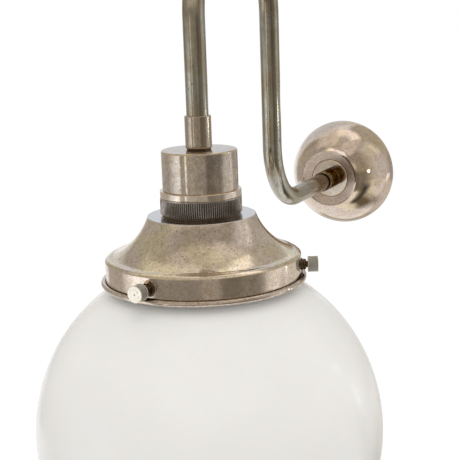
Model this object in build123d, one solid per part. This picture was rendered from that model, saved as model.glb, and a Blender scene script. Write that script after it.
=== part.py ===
"""Wall light: an opal glass globe hung from a swan-neck tube on a domed wall rose.

Millimetres. The origin is the centre of the wall face, on the axis of the tube's horizontal run.
+Z is up, -Y points away from the wall, and the lamp hangs on a vertical axis at y = -PROJECTION.
"""
import os
from math import cos, radians, sin, sqrt

from build123d import *

# ---------------------------------------------------------------- clearances
RUNNING_GAP = 0.05        # radial, between a thread or socket and what turns or seats in it
FREE_GAP = 0.3            # between pieces that pass each other without guiding

# ---------------------------------------------------------------- arm
PROJECTION = 256.5        # wall face to the lamp's axis
RUN_SPACING = 108.0       # between the axes of the two vertical runs
TUBE_D = 12.5
TUBE_WALL = 1.0
LOWER_BEND_R = 40.0       # centre line of the bend beside the rose
TOP_BEND_Z = 124.7        # arm axis to where the vertical runs meet the top bend
SOCKET_DEPTH = 9.0        # how far the tube enters each coupler

# ---------------------------------------------------------------- wall rose
ROSE_R = 40.2             # at the wall face
ROSE_RIM_BULGE = 0.4      # how far the rim's middle stands out from its back edge
ROSE_RIM_DEPTH = 8.2
ROSE_CREASE_R = 39.0      # where the rim turns into the dome
DOME_BULGE = 2.1          # dome's rise above a straight cone
ROSE_DEPTH = 35.4         # wall face to the dome's crest
ROSE_CREST_R = 21.2
CREST_ROUND = 1.8         # half the width of the rounded crest
CREST_EDGE_DROP = 1.0     # crest to where the dome's arc ends
ROSE_DISH = 1.6           # how far the front sinks from the crest to the collar
ROSE_WALL = 1.2
COLLAR_R = 13.9
COLLAR_T = 2.6
COLLAR_SEAM = 0.25        # radial gap round the collar
COLLAR_PROUD = 0.3        # collar's face in front of the rose's edge beside it
WALL_COUPLER_D = 14.8
WALL_COUPLER_L = 18.4
COUNTERBORE_D = 13.8
COUNTERBORE_DEPTH = 2.0

# ---------------------------------------------------------------- hidden wall fixing
FIXING_SPACING = 50.0     # between the two wall screws
SLOT_W = 4.5
SLOT_L = 9.0
SLOT_MARGIN = 2.5         # metal past the slot's end
BRACKET_T = 2.0
BRACKET_H = 16.0
BRACKET_STANDOFF = 20.0   # wall face to the back of the bridge
BRIDGE_W = 32.0
TAB_W = 16.0
TERMINAL_W = 24.0
TERMINAL_D = 17.0
TERMINAL_H = 15.0
TERMINAL_DROP = 11.0      # arm axis to the top of the terminal block
POLE_COUNT = 3
POLE_PITCH = 7.5
POLE_SCREW_D = 3.6
POLE_SCREW_L = 1.6
EARTH_SCREW_D = 6.0
EARTH_SCREW_L = 2.4
EARTH_SCREW_X = 12.0

# ---------------------------------------------------------------- nipples, nuts and the lead
NIPPLE_D = 10.0
NIPPLE_BORE_D = 7.0
NIPPLE_END = 0.6          # nipple standing out past its last nut
NUT_AF = 14.0
NUT_T = 3.0
LEAD_D = 6.4
LEAD_BEND_R = 6.0

# ---------------------------------------------------------------- lampholder
CAP_TOP_Z = 52.5          # arm axis to the top of the cap
CAP_D = 43.0
CAP_H = 22.4
CAP_WALL = 1.0
CAP_EDGE = 0.9
COUPLER_D = 15.0
COUPLER_L = 17.2
COUPLER_EDGE = 0.4
SEAT_WASHER_D = 13.8
SEAT_WASHER_T = 0.9
RIM_RING_D = 46.2
RIM_RING_H = 3.7
KNURL_D = 46.3
KNURL_H = 9.3
SHADOW_RING_D = 44.6
SHADOW_RING_H = 1.5
HOLDER_THREAD_D = 38.0
HOLDER_BORE_D = 33.2
HOLDER_FLANGE_H = 3.0
HOLDER_UP = 6.0           # holder's body above the cap's lower edge
HOLDER_DOWN = 19.0        # holder's body below the gallery's top
LOCK_RING_D = 45.0
LOCK_RING_H = 6.0
CORE_H = 10.0
CORE_FLANGE_D = 37.2
CORE_FLANGE_H = 5.0
CORE_WIRE_HOLE_D = 3.0
CORE_WIRE_HOLE_Y = 8.0
CORE_SCREW_D = 4.0
CORE_SCREW_L = 2.0
CORE_SCREW_X = 12.0
SHELL_BORE_D = 26.4       # screw shell that takes the bulb's cap
SHELL_WALL = 0.5
SHELL_L = 22.0
CONTACT_D = 8.0
CONTACT_T = 0.6
CONTACT_DROP = 2.6        # core's underside to the contact's lower face
CONTACT_POST_D = 3.0
CONTACT_HOLE_D = 10.0     # in the top of the screw shell

# ---------------------------------------------------------------- gallery and thumbscrews
GALLERY_TOP_R = 30.8
GALLERY_BAND_R = 55.95
GALLERY_WALL = 1.0
FLARE_DROP = 22.0         # gallery's top to the end of the hollow flare
FLARE_HOLLOW = 3.15       # flare's depth behind a straight cone
SHOULDER_W = 4.45         # end of the flare out to the band
SHOULDER_H = 1.8          # end of the flare down to the crease above the band
SHOULDER_BULGE = 0.45
BAND_H = 11.4
GROOVE_H = 0.9
GROOVE_DEPTH = 1.0
LIP_PROUD = 2.85          # rolled lip's edge outside the band
LIP_BEAD_R = 1.6
LIP_WEB_H = 1.2
SCREW_DROP = 7.04         # crease above the band to the thumbscrews' axes
SCREW_COUNT = 3
FIRST_SCREW_DEG = 22.5    # from +X towards the wall
BOSS_D = 7.0
BOSS_L = 2.75
SOLDER_GAP = 0.02         # between the boss and the band it is soldered to
SHANK_D = 4.0
SHANK_POINT = 1.0
SPIGOT_D = 3.0
SPIGOT_L = 3.0
HEAD_D = 9.3
HEAD_T = 5.0
HEAD_GAP = 0.8            # boss to the back of the head when tight
HEAD_EDGE = 0.4

# ---------------------------------------------------------------- glass globe
GLOBE_R = 101.6
GLOBE_WALL = 3.0
GLOBE_CLEARANCE = 3.5     # gallery's lower edge to the globe's ball
NECK_CLEARANCE = 3.45     # gallery's narrowest bore to the lip that passes through it
NECK_LIP_W = 4.0          # lip outside the neck
NECK_LIP_H = 3.4
NECK_LIP_EDGE = 1.2
SCREW_TO_LIP = 0.35       # thumbscrew's shank to the lip that rests above it

# ---------------------------------------------------------------- bulb
BULB_CAP_L = 19.0
BULB_CAP_WALL = 0.5
BULB_TIP_D = 6.0
BULB_TIP_L = 2.4
BULB_R = 30.0
BULB_L = 105.0            # contact to crown
BULB_GLASS_WALL = 0.8
BULB_NECK_D = 24.0
BULB_NECK_IN = 6.0        # glass neck inside the cap
BULB_NECK_OUT = 8.0       # straight glass neck below the cap
BULB_HOLLOW = 1.6         # the waist's depth behind a straight cone
BULB_TANGENT_DEG = 50.0   # where the waist meets the ball, above its middle

# ---------------------------------------------------------------- places that follow
TUBE_R = TUBE_D / 2
NIPPLE_SEAT_R = NIPPLE_D / 2 + RUNNING_GAP
REAR_RUN_Y = -(PROJECTION - RUN_SPACING)

COLLAR_BACK = ROSE_DEPTH - ROSE_DISH + COLLAR_PROUD - COLLAR_T
COLLAR_FACE = COLLAR_BACK + COLLAR_T
WALL_COUPLER_END = COLLAR_FACE + WALL_COUPLER_L
ROSE_SEAT_BACK = COLLAR_BACK - ROSE_WALL
LEAD_TURN = BRACKET_STANDOFF - NUT_T - NIPPLE_END - FREE_GAP
LEAD_ENTRY = LEAD_TURN - LEAD_BEND_R

COUPLER_BOTTOM_Z = CAP_TOP_Z + SEAT_WASHER_T
COUPLER_TOP_Z = COUPLER_BOTTOM_Z + COUPLER_L
CAP_BOTTOM_Z = CAP_TOP_Z - CAP_H
RIM_RING_BOTTOM_Z = CAP_BOTTOM_Z - RIM_RING_H
KNURL_BOTTOM_Z = RIM_RING_BOTTOM_Z - KNURL_H
GALLERY_TOP_Z = KNURL_BOTTOM_Z - SHADOW_RING_H
HOLDER_TOP_Z = CAP_BOTTOM_Z + HOLDER_UP
CORE_BOTTOM_Z = HOLDER_TOP_Z - CORE_H
CORE_TOP_Z = HOLDER_TOP_Z + CORE_FLANGE_H
CONTACT_Z = CORE_BOTTOM_Z - CONTACT_DROP
THREAD_SEAT_R = HOLDER_THREAD_D / 2 + RUNNING_GAP

FLARE_END_R = GALLERY_BAND_R - SHOULDER_W
SHOULDER_DROP = FLARE_DROP + SHOULDER_H
LIP_R = GALLERY_BAND_R + LIP_PROUD
GALLERY_BORE_R = GALLERY_BAND_R - GROOVE_DEPTH - GALLERY_WALL
GALLERY_LOW_Z = GALLERY_TOP_Z - SHOULDER_DROP - BAND_H - GROOVE_H - LIP_WEB_H
NECK_LIP_R = GALLERY_BORE_R - NECK_CLEARANCE
NECK_R = NECK_LIP_R - NECK_LIP_W
SCREW_Z = GALLERY_TOP_Z - SHOULDER_DROP - SCREW_DROP
BOSS_END_R = GALLERY_BAND_R + BOSS_L
HEAD_BACK_R = BOSS_END_R + HEAD_GAP
SHANK_TIP_R = NECK_R + FREE_GAP
LIP_BOTTOM_Z = SCREW_Z + SHANK_D / 2 + SCREW_TO_LIP
GLOBE_Z = GALLERY_LOW_Z - sqrt((GLOBE_R + GLOBE_CLEARANCE) ** 2 - GALLERY_BORE_R ** 2)
BULB_CAP_TOP_Z = CONTACT_Z - BULB_TIP_L
BULB_CAP_BOTTOM_Z = BULB_CAP_TOP_Z - BULB_CAP_L


# ---------------------------------------------------------------- helpers
def at(radius, height):
    """A point of a half section that is turned round the Z axis."""
    return (radius, 0, height)


def bowed(start, end, bulge):
    """Arc between two section points, standing out by bulge to the left of its chord."""
    dx = end[0] - start[0]
    dz = end[2] - start[2]
    length = sqrt(dx * dx + dz * dz)
    middle = at(
        (start[0] + end[0]) / 2 - dz / length * bulge,
        (start[2] + end[2]) / 2 + dx / length * bulge,
    )
    return ThreePointArc(start, middle, end)


def chain(*points):
    """Straight edges through the given section points."""
    return [Line(a, b) for a, b in zip(points[:-1], points[1:])]


def turned(edges):
    """Solid of revolution round the Z axis from a closed run of section edges."""
    return revolve(make_face(edges), Axis.Z)


def on_lamp(solid):
    """Carry a solid made round the Z axis to the lamp's axis."""
    return Pos(0, -PROJECTION, 0) * solid


def to_room(solid):
    """Turn a solid made along +Z so that it runs from the wall into the room."""
    return Rot(90, 0, 0) * solid


def rod(radius, low, high):
    """Round bar on the Z axis between two heights."""
    return Pos(0, 0, (low + high) / 2) * Cylinder(radius, high - low)


def ring(outer_r, inner_r, low, high):
    """Plain ring on the Z axis between two heights."""
    return rod(outer_r, low, high) - rod(inner_r, low, high)


def slab(x_range, y_range, z_range):
    """Box between the given lowest and highest coordinates."""
    centre = [(low + high) / 2 for low, high in (x_range, y_range, z_range)]
    size = [high - low for low, high in (x_range, y_range, z_range)]
    return Pos(*centre) * Box(*size)


def hex_nut(low):
    """Hexagonal nut on the Z axis, with its lower face at the given height."""
    outline = RegularPolygon(NUT_AF / 2, 6, major_radius=False) - Circle(NIPPLE_SEAT_R)
    return Pos(0, 0, low) * extrude(outline, NUT_T)


def rounded_end(solid, edge_r, top=True):
    """Round the widest circular edge at one end of a solid made on the Z axis."""
    circles = solid.edges().filter_by(GeomType.CIRCLE)
    end = circles.group_by(Axis.Z)[-1 if top else 0]
    return fillet(end.sort_by(SortBy.RADIUS)[-1], edge_r)


# ---------------------------------------------------------------- arm
def arm_path(start_y, end_z):
    """Centre line of the tube: out from the rose, up, over and down to the lampholder."""
    rise_y = REAR_RUN_Y + LOWER_BEND_R
    inset = LOWER_BEND_R * (1 - cos(radians(45)))
    top = TOP_BEND_Z + RUN_SPACING / 2
    return [
        Line((0, start_y, 0), (0, rise_y, 0)),
        ThreePointArc((0, rise_y, 0), (0, REAR_RUN_Y + inset, inset), (0, REAR_RUN_Y, LOWER_BEND_R)),
        Line((0, REAR_RUN_Y, LOWER_BEND_R), (0, REAR_RUN_Y, TOP_BEND_Z)),
        ThreePointArc(
            (0, REAR_RUN_Y, TOP_BEND_Z),
            (0, REAR_RUN_Y - RUN_SPACING / 2, top),
            (0, -PROJECTION, TOP_BEND_Z),
        ),
        Line((0, -PROJECTION, TOP_BEND_Z), (0, -PROJECTION, end_z)),
    ]


def swept(section, edges):
    """Carry a section along a path of tangent edges."""
    path = Wire(edges)
    start = Plane(path @ 0, z_dir=path % 0)
    return sweep(start * section, path)


def arm_tube():
    wall = Circle(TUBE_R) - Circle(TUBE_R - TUBE_WALL)
    start_y = -(WALL_COUPLER_END - SOCKET_DEPTH)
    return swept(wall, arm_path(start_y, COUPLER_TOP_Z - SOCKET_DEPTH))


def inner_lead():
    """Flexible lead, held all the way from the terminal block to the lampholder's core."""
    inset = LEAD_BEND_R * (1 - cos(radians(45)))
    drop = [
        Line((0, -LEAD_ENTRY, -TERMINAL_DROP), (0, -LEAD_ENTRY, -LEAD_BEND_R)),
        ThreePointArc((0, -LEAD_ENTRY, -LEAD_BEND_R), (0, -LEAD_ENTRY - inset, -inset), (0, -LEAD_TURN, 0)),
    ]
    return swept(Circle(LEAD_D / 2), drop + arm_path(-LEAD_TURN, CORE_TOP_Z))


# ---------------------------------------------------------------- wall rose
def wall_rose():
    """Spun shell: a rim on the wall, a dome and a dished front with a seat for the collar."""
    seat_r = COLLAR_R + COLLAR_SEAM
    crest_out = at(ROSE_CREST_R + CREST_ROUND, ROSE_DEPTH - CREST_EDGE_DROP)
    crest_in = at(ROSE_CREST_R - CREST_ROUND, ROSE_DEPTH - ROSE_DISH / 4)
    crease = at(ROSE_CREASE_R, ROSE_RIM_DEPTH)
    dish_edge = at(seat_r, ROSE_DEPTH - ROSE_DISH)
    inner_crease = at(ROSE_CREASE_R - ROSE_WALL, ROSE_RIM_DEPTH)
    inner_crest = at(crest_out[0] - ROSE_WALL, crest_out[2] - ROSE_WALL)
    outside = [
        bowed(at(ROSE_R, 0), crease, -ROSE_RIM_BULGE),
        bowed(crease, crest_out, -DOME_BULGE),
        ThreePointArc(crest_out, at(ROSE_CREST_R, ROSE_DEPTH), crest_in),
    ]
    front = chain(
        crest_in,
        dish_edge,
        at(seat_r, COLLAR_BACK),
        at(NIPPLE_SEAT_R, COLLAR_BACK),
        at(NIPPLE_SEAT_R, ROSE_SEAT_BACK),
        at(seat_r + ROSE_WALL, ROSE_SEAT_BACK),
        at(seat_r + ROSE_WALL, dish_edge[2] - ROSE_WALL),
        inner_crest,
    )
    inside = [bowed(inner_crest, inner_crease, DOME_BULGE)]
    rim = chain(inner_crease, at(inner_crease[0], 0), at(ROSE_R, 0))
    return to_room(turned(outside + front + inside + rim))


def rose_collar():
    return to_room(ring(COLLAR_R, NIPPLE_SEAT_R, COLLAR_BACK, COLLAR_FACE))


def coupler(outer_d, length):
    """Sleeve on the Z axis: a nipple's thread below and a socket for the tube on top."""
    body = rounded_end(rod(outer_d / 2, 0, length), COUPLER_EDGE)
    return body - rod(NIPPLE_SEAT_R, 0, length) - rod(TUBE_R + RUNNING_GAP, length - SOCKET_DEPTH, length)


def wall_coupler():
    mouth = rod(COUNTERBORE_D / 2, WALL_COUPLER_L - COUNTERBORE_DEPTH, WALL_COUPLER_L)
    sleeve = coupler(WALL_COUPLER_D, WALL_COUPLER_L) - mouth
    return to_room(Pos(0, 0, COLLAR_FACE) * sleeve)


# ---------------------------------------------------------------- hidden wall fixing
def wall_bracket():
    """Hat-shaped strap: feet on the wall, a bridge for the nipple, a tab for the terminals."""
    foot_end = FIXING_SPACING / 2 + SLOT_L / 2 + SLOT_MARGIN
    bridge_front = BRACKET_STANDOFF + BRACKET_T
    bridge_y = (-bridge_front, -BRACKET_STANDOFF)
    half_h = BRACKET_H / 2
    body = slab((-BRIDGE_W / 2, BRIDGE_W / 2), bridge_y, (-half_h, half_h))
    body += slab((-TAB_W / 2, TAB_W / 2), bridge_y, (-TERMINAL_DROP - TERMINAL_H, -half_h))
    slot = to_room(extrude(SlotOverall(SLOT_L, SLOT_W), BRACKET_T))
    for side in (-1, 1):
        leg = sorted((side * BRIDGE_W / 2, side * (BRIDGE_W / 2 - BRACKET_T)))
        foot = sorted((side * foot_end, side * (BRIDGE_W / 2 - BRACKET_T)))
        body += slab(leg, (-bridge_front, 0), (-half_h, half_h))
        body += slab(foot, (-BRACKET_T, 0), (-half_h, half_h))
        body -= Pos(side * FIXING_SPACING / 2, 0, 0) * slot
    return body - to_room(rod(NIPPLE_SEAT_R, BRACKET_STANDOFF, bridge_front))


def terminal_block():
    bottom = -TERMINAL_DROP - TERMINAL_H
    depth = (-BRACKET_STANDOFF, TERMINAL_D - BRACKET_STANDOFF)
    body = slab((-TERMINAL_W / 2, TERMINAL_W / 2), depth, (bottom, -TERMINAL_DROP))
    for x in pole_places():
        wire_hole = rod(POLE_SCREW_D / 2, bottom, bottom + TERMINAL_H / 2)
        body -= Pos(x, -LEAD_ENTRY, 0) * wire_hole
    return body


def pole_places():
    return [POLE_PITCH * (index - (POLE_COUNT - 1) / 2) for index in range(POLE_COUNT)]


def terminal_screws():
    """One clamp screw for each pole, on the side of the block that faces the wall."""
    face = TERMINAL_D - BRACKET_STANDOFF
    height = -TERMINAL_DROP - TERMINAL_H / 2
    screw = to_room(rod(POLE_SCREW_D / 2, -POLE_SCREW_L, 0))
    return Compound([Pos(x, face, height) * screw for x in pole_places()])


def earth_screw():
    front = BRACKET_STANDOFF + BRACKET_T
    return Pos(EARTH_SCREW_X, 0, 0) * to_room(rod(EARTH_SCREW_D / 2, front, front + EARTH_SCREW_L))


def wall_nipple():
    back = BRACKET_STANDOFF - NUT_T - NIPPLE_END
    front = WALL_COUPLER_END - SOCKET_DEPTH - FREE_GAP
    return to_room(ring(NIPPLE_D / 2, NIPPLE_BORE_D / 2, back, front))


def wall_nuts():
    """One nut behind the bracket's bridge and one behind the rose's seat."""
    backs = (BRACKET_STANDOFF - NUT_T, ROSE_SEAT_BACK - NUT_T)
    return Compound([to_room(hex_nut(back)) for back in backs])


# ---------------------------------------------------------------- lampholder
def front_coupler():
    return on_lamp(Pos(0, 0, COUPLER_BOTTOM_Z) * coupler(COUPLER_D, COUPLER_L))


def seat_washer():
    return on_lamp(ring(SEAT_WASHER_D / 2, NIPPLE_SEAT_R, CAP_TOP_Z, COUPLER_BOTTOM_Z))


def holder_nipple():
    bottom = CAP_TOP_Z - CAP_WALL - NUT_T - NIPPLE_END
    top = COUPLER_TOP_Z - SOCKET_DEPTH - FREE_GAP
    return on_lamp(ring(NIPPLE_D / 2, NIPPLE_BORE_D / 2, bottom, top))


def cap_nut():
    return on_lamp(hex_nut(CAP_TOP_Z - CAP_WALL - NUT_T))


def lampholder_cap():
    body = rounded_end(rod(CAP_D / 2, CAP_BOTTOM_Z, CAP_TOP_Z), CAP_EDGE)
    body -= rod(CAP_D / 2 - CAP_WALL, CAP_BOTTOM_Z, CAP_TOP_Z - CAP_WALL)
    return on_lamp(body - rod(NIPPLE_SEAT_R, CAP_BOTTOM_Z, CAP_TOP_Z))


def rim_ring():
    return on_lamp(ring(RIM_RING_D / 2, THREAD_SEAT_R, RIM_RING_BOTTOM_Z, CAP_BOTTOM_Z))


def knurled_ring():
    return on_lamp(ring(KNURL_D / 2, THREAD_SEAT_R, KNURL_BOTTOM_Z, RIM_RING_BOTTOM_Z))


def shadow_ring():
    return on_lamp(ring(SHADOW_RING_D / 2, THREAD_SEAT_R, GALLERY_TOP_Z, KNURL_BOTTOM_Z))


def lock_ring():
    top = GALLERY_TOP_Z - GALLERY_WALL
    return on_lamp(ring(LOCK_RING_D / 2, THREAD_SEAT_R, top - LOCK_RING_H, top))


def holder_body():
    """Threaded sleeve with a flange that the cap's lower edge closes over."""
    flange_r = CAP_D / 2 - CAP_WALL - FREE_GAP
    body = rod(HOLDER_THREAD_D / 2, GALLERY_TOP_Z - HOLDER_DOWN, HOLDER_TOP_Z)
    body += rod(flange_r, CAP_BOTTOM_Z, CAP_BOTTOM_Z + HOLDER_FLANGE_H)
    return on_lamp(body - rod(HOLDER_BORE_D / 2, GALLERY_TOP_Z - HOLDER_DOWN, HOLDER_TOP_Z))


def holder_core():
    """Ceramic core that stands on the holder's body and carries the contacts."""
    body = rod(HOLDER_BORE_D / 2 - FREE_GAP, CORE_BOTTOM_Z, HOLDER_TOP_Z)
    body += rod(CORE_FLANGE_D / 2, HOLDER_TOP_Z, CORE_TOP_Z)
    for side in (-1, 1):
        hole = rod(CORE_WIRE_HOLE_D / 2, CORE_BOTTOM_Z, CORE_TOP_Z)
        body -= Pos(0, side * CORE_WIRE_HOLE_Y, 0) * hole
    return on_lamp(body)


def core_screws():
    screw = rod(CORE_SCREW_D / 2, CORE_TOP_Z, CORE_TOP_Z + CORE_SCREW_L)
    return Compound([on_lamp(Pos(side * CORE_SCREW_X, 0, 0) * screw) for side in (-1, 1)])


def screw_shell():
    outer_r = SHELL_BORE_D / 2 + SHELL_WALL
    body = rod(outer_r, CORE_BOTTOM_Z - SHELL_L, CORE_BOTTOM_Z)
    body -= rod(SHELL_BORE_D / 2, CORE_BOTTOM_Z - SHELL_L, CORE_BOTTOM_Z - SHELL_WALL)
    return on_lamp(body - rod(CONTACT_HOLE_D / 2, CORE_BOTTOM_Z - SHELL_WALL, CORE_BOTTOM_Z))


def centre_contact():
    plate = rod(CONTACT_D / 2, CONTACT_Z, CONTACT_Z + CONTACT_T)
    return on_lamp(plate + rod(CONTACT_POST_D / 2, CONTACT_Z, CORE_BOTTOM_Z))


# ---------------------------------------------------------------- gallery
def gallery():
    """Spun shade carrier: flat top, hollow flare, upright band, groove and rolled lip."""
    wall = GALLERY_WALL
    hole_r = HOLDER_THREAD_D / 2 + FREE_GAP
    band_bottom = -(SHOULDER_DROP + BAND_H)
    groove_bottom = band_bottom - GROOVE_H
    web_bottom = groove_bottom - LIP_WEB_H
    groove_r = GALLERY_BAND_R - GROOVE_DEPTH
    bead_z = groove_bottom - LIP_WEB_H / 2
    flare_top = at(GALLERY_TOP_R, 0)
    flare_end = at(FLARE_END_R, -FLARE_DROP)
    crease = at(GALLERY_BAND_R, -SHOULDER_DROP)
    inner_top = at(GALLERY_TOP_R - wall / 2, -wall)
    inner_end = at(FLARE_END_R - wall / 2, -FLARE_DROP - wall)
    inner_crease = at(GALLERY_BAND_R - wall, -SHOULDER_DROP - wall)
    section = [
        Line(at(hole_r, 0), flare_top),
        bowed(flare_top, flare_end, -FLARE_HOLLOW),
        bowed(flare_end, crease, SHOULDER_BULGE),
    ]
    section += chain(
        crease,
        at(GALLERY_BAND_R, band_bottom),
        at(groove_r, band_bottom),
        at(groove_r, groove_bottom),
        at(LIP_R - LIP_BEAD_R, groove_bottom),
        at(LIP_R - LIP_BEAD_R, web_bottom),
        at(GALLERY_BORE_R, web_bottom),
        at(GALLERY_BORE_R, band_bottom + wall),
        at(GALLERY_BAND_R - wall, band_bottom + wall),
        inner_crease,
    )
    section += [
        bowed(inner_crease, inner_end, -SHOULDER_BULGE),
        bowed(inner_end, inner_top, FLARE_HOLLOW),
        Line(inner_top, at(hole_r, -wall)),
        Line(at(hole_r, -wall), at(hole_r, 0)),
    ]
    bead = Pos(0, 0, bead_z) * Torus(LIP_R - LIP_BEAD_R, LIP_BEAD_R)
    body = Pos(0, 0, GALLERY_TOP_Z) * (turned(section) + bead)
    for angle in screw_angles():
        body -= radial(rod(SHANK_D / 2 + FREE_GAP, groove_r - 2 * wall, GALLERY_BAND_R + wall), angle)
    return on_lamp(body)


def screw_angles():
    return [FIRST_SCREW_DEG + index * 360 / SCREW_COUNT for index in range(SCREW_COUNT)]


def radial(solid, angle):
    """Lay a solid made along +Z on a thumbscrew's axis, pointing away from the lamp's axis."""
    return Pos(0, 0, SCREW_Z) * Rot(0, 0, angle) * Rot(0, 90, 0) * solid


def screw_bosses():
    """Threaded bosses soldered to the band, each shaped to it at the back."""
    band = rod(GALLERY_BAND_R + SOLDER_GAP, SCREW_Z - BOSS_D, SCREW_Z + BOSS_D)
    blank = ring(BOSS_D / 2, SHANK_D / 2 + RUNNING_GAP, GALLERY_BAND_R - BOSS_L, BOSS_END_R)
    return Compound([on_lamp(radial(blank, angle) - band) for angle in screw_angles()])


def thumbscrew_shank(angle):
    """Threaded shank with a blunt point, and a spigot that the head turns on."""
    shank = rod(SHANK_D / 2, SHANK_TIP_R, HEAD_BACK_R)
    point = shank.edges().filter_by(GeomType.CIRCLE).group_by(Axis.Z)[0]
    shank = chamfer(point, SHANK_POINT)
    return on_lamp(radial(shank + rod(SPIGOT_D / 2, HEAD_BACK_R, HEAD_BACK_R + SPIGOT_L), angle))


def thumbscrew_head(angle):
    head = rod(HEAD_D / 2, HEAD_BACK_R, HEAD_BACK_R + HEAD_T)
    head = rounded_end(rounded_end(head, HEAD_EDGE), HEAD_EDGE, top=False)
    bore = rod(SPIGOT_D / 2 + RUNNING_GAP, HEAD_BACK_R, HEAD_BACK_R + SPIGOT_L + FREE_GAP)
    return on_lamp(radial(head - bore, angle))


# ---------------------------------------------------------------- glass
def globe():
    """Blown globe: a sphere with a straight neck and a thick lip that hangs on the thumbscrews."""
    inner_r = GLOBE_R - GLOBE_WALL
    bore_r = NECK_R - GLOBE_WALL
    neck_z = sqrt(GLOBE_R ** 2 - NECK_R ** 2)
    bore_z = sqrt(inner_r ** 2 - bore_r ** 2)
    lip_z = LIP_BOTTOM_Z - GLOBE_Z
    top_z = lip_z + NECK_LIP_H
    section = [
        ThreePointArc(at(0, -GLOBE_R), at(GLOBE_R, 0), at(NECK_R, neck_z)),
        ThreePointArc(at(bore_r, bore_z), at(inner_r, 0), at(0, -inner_r)),
        Line(at(0, -inner_r), at(0, -GLOBE_R)),
    ]
    section += chain(
        at(NECK_R, neck_z),
        at(NECK_R, lip_z),
        at(NECK_LIP_R, lip_z),
        at(NECK_LIP_R, top_z),
        at(bore_r, top_z),
        at(bore_r, bore_z),
    )
    body = Pos(0, 0, GLOBE_Z) * turned(section)
    lip_edges = [
        edge
        for edge in body.edges().filter_by(GeomType.CIRCLE)
        if abs(edge.radius - NECK_LIP_R) < NECK_LIP_EDGE / 2
    ]
    return on_lamp(fillet(lip_edges, NECK_LIP_EDGE))


def bulb_glass():
    """Round bulb, open at the neck where the cap closes it."""
    wall = BULB_GLASS_WALL
    neck_r = BULB_NECK_D / 2
    centre = CONTACT_Z - BULB_L + BULB_R
    tangent = radians(BULB_TANGENT_DEG)
    neck_top = BULB_CAP_BOTTOM_Z + BULB_NECK_IN
    neck_low = BULB_CAP_BOTTOM_Z - BULB_NECK_OUT

    def ball(radius):
        meet = at(radius * cos(tangent), centre + radius * sin(tangent))
        return meet, ThreePointArc(meet, at(radius, centre), at(0, centre - radius))

    outer_meet, outer_ball = ball(BULB_R)
    inner_meet, inner_ball = ball(BULB_R - wall)
    section = [
        Line(at(neck_r, neck_top), at(neck_r, neck_low)),
        bowed(at(neck_r, neck_low), outer_meet, -BULB_HOLLOW),
        outer_ball,
        Line(at(0, centre - BULB_R), at(0, centre - BULB_R + wall)),
        inner_ball,
        bowed(at(neck_r - wall, neck_low), inner_meet, -BULB_HOLLOW),
        Line(at(neck_r - wall, neck_low), at(neck_r - wall, neck_top)),
        Line(at(neck_r - wall, neck_top), at(neck_r, neck_top)),
    ]
    return on_lamp(turned(section))


def bulb_cap():
    outer_r = SHELL_BORE_D / 2 - RUNNING_GAP
    body = rod(outer_r, BULB_CAP_BOTTOM_Z, BULB_CAP_TOP_Z)
    return on_lamp(body - rod(outer_r - BULB_CAP_WALL, BULB_CAP_BOTTOM_Z, BULB_CAP_TOP_Z - BULB_CAP_WALL))


def bulb_tip():
    return on_lamp(rod(BULB_TIP_D / 2, BULB_CAP_TOP_Z, CONTACT_Z))


# ---------------------------------------------------------------- write the nodes
def all_nodes():
    nodes = {
        "wall_bracket": wall_bracket(),
        "terminal_block": terminal_block(),
        "terminal_screws": terminal_screws(),
        "earth_screw": earth_screw(),
        "wall_nipple": wall_nipple(),
        "wall_nuts": wall_nuts(),
        "wall_rose": wall_rose(),
        "rose_collar": rose_collar(),
        "wall_coupler": wall_coupler(),
        "arm_tube": arm_tube(),
        "inner_lead": inner_lead(),
        "front_coupler": front_coupler(),
        "seat_washer": seat_washer(),
        "holder_nipple": holder_nipple(),
        "cap_nut": cap_nut(),
        "lampholder_cap": lampholder_cap(),
        "rim_ring": rim_ring(),
        "knurled_ring": knurled_ring(),
        "shadow_ring": shadow_ring(),
        "lock_ring": lock_ring(),
        "holder_body": holder_body(),
        "holder_core": holder_core(),
        "core_screws": core_screws(),
        "screw_shell": screw_shell(),
        "centre_contact": centre_contact(),
        "gallery": gallery(),
        "screw_bosses": screw_bosses(),
        "globe": globe(),
        "bulb_glass": bulb_glass(),
        "bulb_cap": bulb_cap(),
        "bulb_tip": bulb_tip(),
    }
    for number, angle in enumerate(screw_angles(), start=1):
        nodes[f"thumbscrew_shank_{number}"] = thumbscrew_shank(angle)
        nodes[f"thumbscrew_head_{number}"] = thumbscrew_head(angle)
    return nodes


def main():
    os.makedirs("parts", exist_ok=True)
    for name, solid in all_nodes().items():
        export_step(solid, f"parts/{name}.step")


main()
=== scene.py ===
"""Wall light in a plain studio: an opal globe hung from a swan-neck tube, in aged silver plate.

Metres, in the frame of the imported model: the wall is the plane y = 0, -Y points into the room and
the lamp hangs on a vertical axis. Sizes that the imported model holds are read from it.
"""
from math import asin, atan2, ceil, cos, hypot, pi, radians, sin, sqrt, tan

import bpy
from mathutils import Matrix, Vector


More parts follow.
